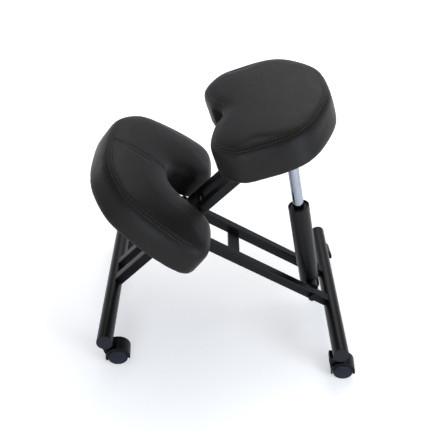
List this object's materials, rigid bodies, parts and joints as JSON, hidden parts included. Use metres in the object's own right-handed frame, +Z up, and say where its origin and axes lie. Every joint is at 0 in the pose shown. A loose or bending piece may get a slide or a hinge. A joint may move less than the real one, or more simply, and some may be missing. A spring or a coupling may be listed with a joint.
{
  "type": "kneeling chair",
  "caption": "Height-adjustable kneeling chair: hinged X frame with a gas lift, a tilted seat, a notched knee pad and twin-wheel swivel casters.",
  "frame": {"origin": "on the floor, below the centre of the bounding box at rest", "axes": "+X to the sitter's left, so the sitter faces -Y; +Z up"},
  "size_m": [0.5028, 0.6843, 0.6962],
  "materials": {
    "powder_coat": "satin black powder coat",
    "black_plastic": "satin moulded plastic",
    "nylon_wheel": "satin moulded nylon",
    "leatherette": "fine-grained black leatherette",
    "zinc_steel": "zinc plated",
    "chrome_rod": "polished chrome",
    "plywood": "bare plywood"
  },
  "bodies": {
    "base": {"rear_crossbar": "powder_coat", "rear_bar_caps": "black_plastic", "lower_rail_left": "powder_coat", "lower_rail_right": "powder_coat", "rail_plugs": "black_plastic", "cross_strap": "powder_coat", "knee_plate": "powder_coat", "knee_board": "plywood", "knee_cushion": "leatherette", "knee_screws": "zinc_steel", "pivot_bolt": "powder_coat", "pivot_nut": "powder_coat", "pivot_washers": "black_plastic", "lift_bolt": "powder_coat", "lift_bolt_nut": "powder_coat", "lift_washers": "black_plastic", "stem_rear_left": "zinc_steel", "stem_rear_right": "zinc_steel"},
    "seat_frame": {"front_crossbar": "powder_coat", "front_bar_caps": "black_plastic", "seat_arm_left": "powder_coat", "seat_arm_right": "powder_coat", "pivot_spacer": "powder_coat", "stay_bolt": "powder_coat", "stay_spacer": "powder_coat", "seat_plate": "powder_coat", "seat_board": "plywood", "seat_cushion": "leatherette", "seat_screws": "zinc_steel", "lift_pin": "zinc_steel", "stem_front_left": "zinc_steel", "stem_front_right": "zinc_steel"},
    "lift": {"lift_socket": "powder_coat", "gas_cylinder": "powder_coat", "lift_sleeve": "powder_coat", "lift_bush": "black_plastic"},
    "rod": {"lift_rod": "chrome_rod", "release_head": "powder_coat"},
    "button": {"release_button": "zinc_steel"},
    "lever": {"release_lever": "powder_coat", "lever_grip": "black_plastic"},
    "caster_front_left": {"hood_front_left": "black_plastic", "axle_front_left": "zinc_steel"},
    "wheel_a_front_left": {"wheel_a_front_left": "nylon_wheel"},
    "wheel_b_front_left": {"wheel_b_front_left": "nylon_wheel"},
    "caster_front_right": {"hood_front_right": "black_plastic", "axle_front_right": "zinc_steel"},
    "wheel_a_front_right": {"wheel_a_front_right": "nylon_wheel"},
    "wheel_b_front_right": {"wheel_b_front_right": "nylon_wheel"},
    "caster_rear_left": {"hood_rear_left": "black_plastic", "axle_rear_left": "zinc_steel"},
    "wheel_a_rear_left": {"wheel_a_rear_left": "nylon_wheel"},
    "wheel_b_rear_left": {"wheel_b_rear_left": "nylon_wheel"},
    "caster_rear_right": {"hood_rear_right": "black_plastic", "axle_rear_right": "zinc_steel"},
    "wheel_a_rear_right": {"wheel_a_rear_right": "nylon_wheel"},
    "wheel_b_rear_right": {"wheel_b_rear_right": "nylon_wheel"}
  },
  "joints": [
    {"name": "scissor", "type": "hinge", "parent": "base", "child": "seat_frame", "pos_m": [0, -0.119, 0.2935], "axis": [1, 0, 0], "range_deg": [-18, 0]},
    {"name": "lift_tilt", "type": "hinge", "parent": "base", "child": "lift", "pos_m": [0, 0.23566, 0.1151], "axis": [1, 0, 0], "range_deg": [-6.4, 0]},
    {"name": "rod_slide", "type": "slide", "parent": "lift", "child": "rod", "axis": [0, -0.2672, 0.9636], "range_m": [-0.098, 0]},
    {"name": "lever_hinge", "type": "hinge", "parent": "rod", "child": "lever", "pos_m": [-0.014, 0.12635, 0.50922], "axis": [0, 0.9636, 0.2672], "range_deg": [0, 8], "stiffness_Nm_per_rad": 1.2, "springref_deg": -8.59},
    {"name": "button_slide", "type": "slide", "parent": "rod", "child": "button", "axis": [0, -0.2672, 0.9636], "range_m": [-0.0026, 0]},
    {"name": "swivel_front_left", "type": "hinge", "parent": "seat_frame", "child": "caster_front_left", "pos_m": [-0.219, -0.2795, 0.045], "axis": [0, 0, 1], "continuous": true},
    {"name": "spin_a_front_left", "type": "hinge", "parent": "caster_front_left", "child": "wheel_a_front_left", "pos_m": [-0.21746, -0.25755, 0.025], "axis": [0.9976, -0.0698, 0], "continuous": true},
    {"name": "spin_b_front_left", "type": "hinge", "parent": "caster_front_left", "child": "wheel_b_front_left", "pos_m": [-0.21746, -0.25755, 0.025], "axis": [0.9976, -0.0698, 0], "continuous": true},
    {"name": "swivel_front_right", "type": "hinge", "parent": "seat_frame", "child": "caster_front_right", "pos_m": [0.219, -0.2795, 0.045], "axis": [0, 0, 1], "continuous": true},
    {"name": "spin_a_front_right", "type": "hinge", "parent": "caster_front_right", "child": "wheel_a_front_right", "pos_m": [0.21746, -0.25755, 0.025], "axis": [0.9976, 0.0698, 0], "continuous": true},
    {"name": "spin_b_front_right", "type": "hinge", "parent": "caster_front_right", "child": "wheel_b_front_right", "pos_m": [0.21746, -0.25755, 0.025], "axis": [0.9976, 0.0698, 0], "continuous": true},
    {"name": "swivel_rear_left", "type": "hinge", "parent": "base", "child": "caster_rear_left", "pos_m": [-0.225, 0.2885, 0.045], "axis": [0, 0, 1], "continuous": true},
    {"name": "spin_a_rear_left", "type": "hinge", "parent": "caster_rear_left", "child": "wheel_a_rear_left", "pos_m": [-0.22653, 0.31045, 0.025], "axis": [0.9976, 0.0698, 0], "continuous": true},
    {"name": "spin_b_rear_left", "type": "hinge", "parent": "caster_rear_left", "child": "wheel_b_rear_left", "pos_m": [-0.22653, 0.31045, 0.025], "axis": [0.9976, 0.0698, 0], "continuous": true},
    {"name": "swivel_rear_right", "type": "hinge", "parent": "base", "child": "caster_rear_right", "pos_m": [0.225, 0.2885, 0.045], "axis": [0, 0, 1], "continuous": true},
    {"name": "spin_a_rear_right", "type": "hinge", "parent": "caster_rear_right", "child": "wheel_a_rear_right", "pos_m": [0.22653, 0.31045, 0.025], "axis": [0.9976, -0.0698, 0], "continuous": true},
    {"name": "spin_b_rear_right", "type": "hinge", "parent": "caster_rear_right", "child": "wheel_b_rear_right", "pos_m": [0.22653, 0.31045, 0.025], "axis": [0.9976, -0.0698, 0], "continuous": true}
  ],
  "couplings": [
    {"joint": "lift_tilt", "follows": "scissor", "ratio": 0.353},
    {"joint": "rod_slide", "follows": "scissor", "m_per_rad": 0.3084},
    {"joint": "button_slide", "follows": "lever_hinge", "m_per_rad": -0.0178}
  ]
}
